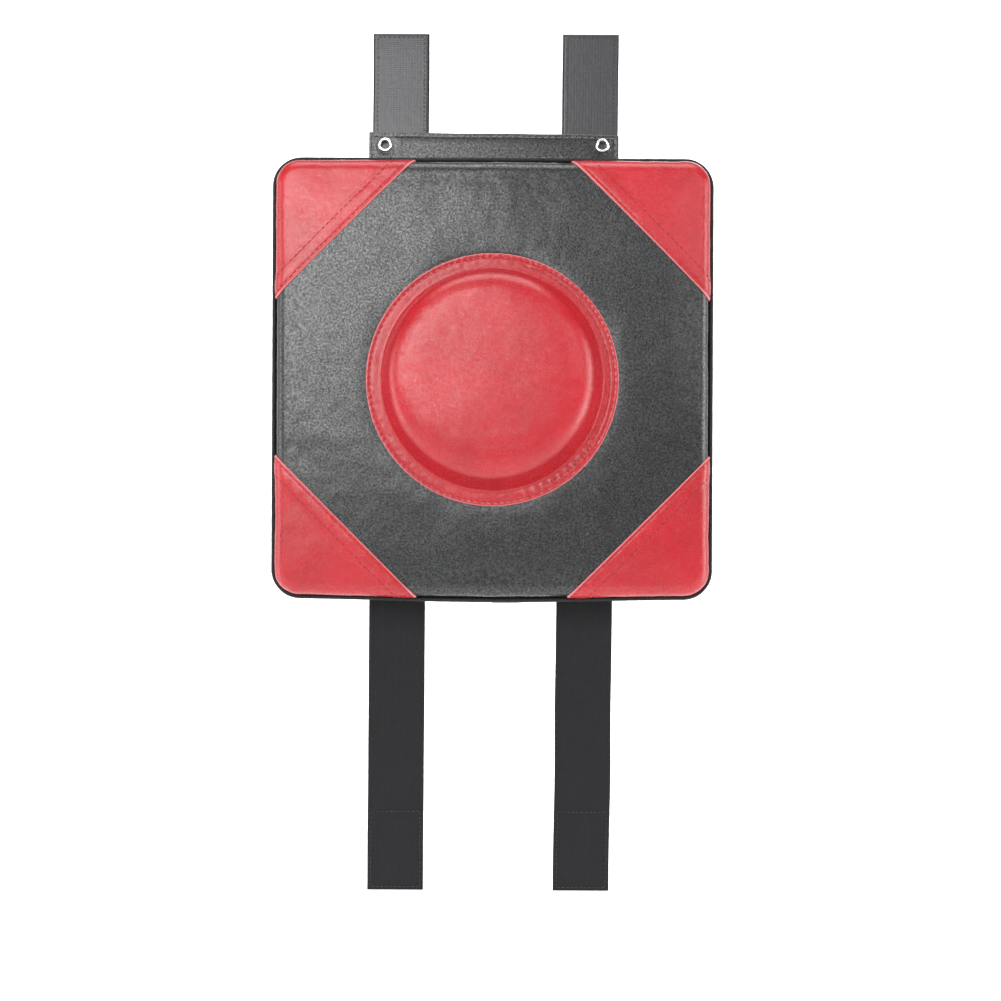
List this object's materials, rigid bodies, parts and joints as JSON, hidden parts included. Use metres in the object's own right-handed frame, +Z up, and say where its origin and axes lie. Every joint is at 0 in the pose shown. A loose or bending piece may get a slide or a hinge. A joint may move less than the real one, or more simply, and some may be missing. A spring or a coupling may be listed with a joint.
{
  "type": "strap-on punch target pad",
  "caption": "Square padded punch target with a raised round strike zone, an eyelet header to hang it by and hook-and-loop webbing straps to tie it around a post or bag.",
  "frame": {"origin": "midway between the two eyelets, on the plane of their washers' backs", "axes": "+X to the right as seen by the person who hits it, -Y out of the front, +Z up"},
  "size_m": [0.3, 0.0729, 0.611],
  "materials": {
    "black_leather": "fine-grained synthetic leather, soft satin",
    "red_leather": "fine-grained synthetic leather, soft satin",
    "piping": "smooth synthetic leather over a cord",
    "webbing": "tightly woven polyester webbing",
    "loop_tape": "brushed loop tape with woven edges",
    "hook_tape": "rows of fine plastic hooks on woven tape",
    "nickel": "bright nickel plate",
    "soft_foam": "open-cell sponge",
    "firm_foam": "closed-cell foam board"
  },
  "bodies": {
    "header": {"header_strip": "black_leather", "header_reinforcement": "firm_foam", "eyelet_left": "nickel", "eyelet_right": "nickel", "washer_left": "nickel", "washer_right": "nickel"},
    "pad": {"front_cover": "black_leather", "corner_patch_top_left": "red_leather", "corner_patch_top_right": "red_leather", "corner_patch_bottom_left": "red_leather", "corner_patch_bottom_right": "red_leather", "target_cover": "red_leather", "target_foam": "soft_foam", "front_foam": "soft_foam", "core_foam": "firm_foam", "back_foam": "firm_foam", "side_gusset": "black_leather", "back_cover": "black_leather", "front_piping": "piping", "back_piping": "piping", "back_webbing_left": "webbing", "back_webbing_right": "webbing"},
    "top_strap_left": {"top_webbing_left": "webbing", "loop_tape_left": "loop_tape"},
    "top_strap_right": {"top_webbing_right": "webbing", "loop_tape_right": "loop_tape"},
    "bottom_strap_left": {"bottom_webbing_left": "webbing"},
    "bottom_strap_right": {"bottom_webbing_right": "webbing"},
    "strap_end_left": {"end_webbing_left": "webbing", "hook_tape_left": "hook_tape"},
    "strap_end_right": {"end_webbing_right": "webbing", "hook_tape_right": "hook_tape"}
  },
  "joints": [
    {"name": "pad_swing", "type": "hinge", "parent": "header", "child": "pad", "pos_m": [0, -0.0017, -0.0174], "axis": [-1, 0, 0], "range_deg": [0, 85]},
    {"name": "top_left_fold", "type": "hinge", "parent": "pad", "child": "top_strap_left", "pos_m": [-0.067, 0.0022, -0.017], "axis": [-1, 0, 0], "range_deg": [0, 100], "stiffness_Nm_per_rad": 0.02},
    {"name": "top_right_fold", "type": "hinge", "parent": "pad", "child": "top_strap_right", "pos_m": [0.067, 0.0022, -0.017], "axis": [-1, 0, 0], "range_deg": [0, 100], "stiffness_Nm_per_rad": 0.02},
    {"name": "bottom_left_fold", "type": "hinge", "parent": "pad", "child": "bottom_strap_left", "pos_m": [-0.067, 0.0022, -0.321], "axis": [1, 0, 0], "range_deg": [-70, 100]},
    {"name": "bottom_right_fold", "type": "hinge", "parent": "pad", "child": "bottom_strap_right", "pos_m": [0.067, 0.0022, -0.321], "axis": [1, 0, 0], "range_deg": [-70, 100]},
    {"name": "bottom_left_curl", "type": "hinge", "parent": "bottom_strap_left", "child": "strap_end_left", "pos_m": [-0.067, 0.0022, -0.419], "axis": [1, 0, 0], "range_deg": [0, 100]},
    {"name": "bottom_right_curl", "type": "hinge", "parent": "bottom_strap_right", "child": "strap_end_right", "pos_m": [0.067, 0.0022, -0.419], "axis": [1, 0, 0], "range_deg": [0, 100]}
  ]
}
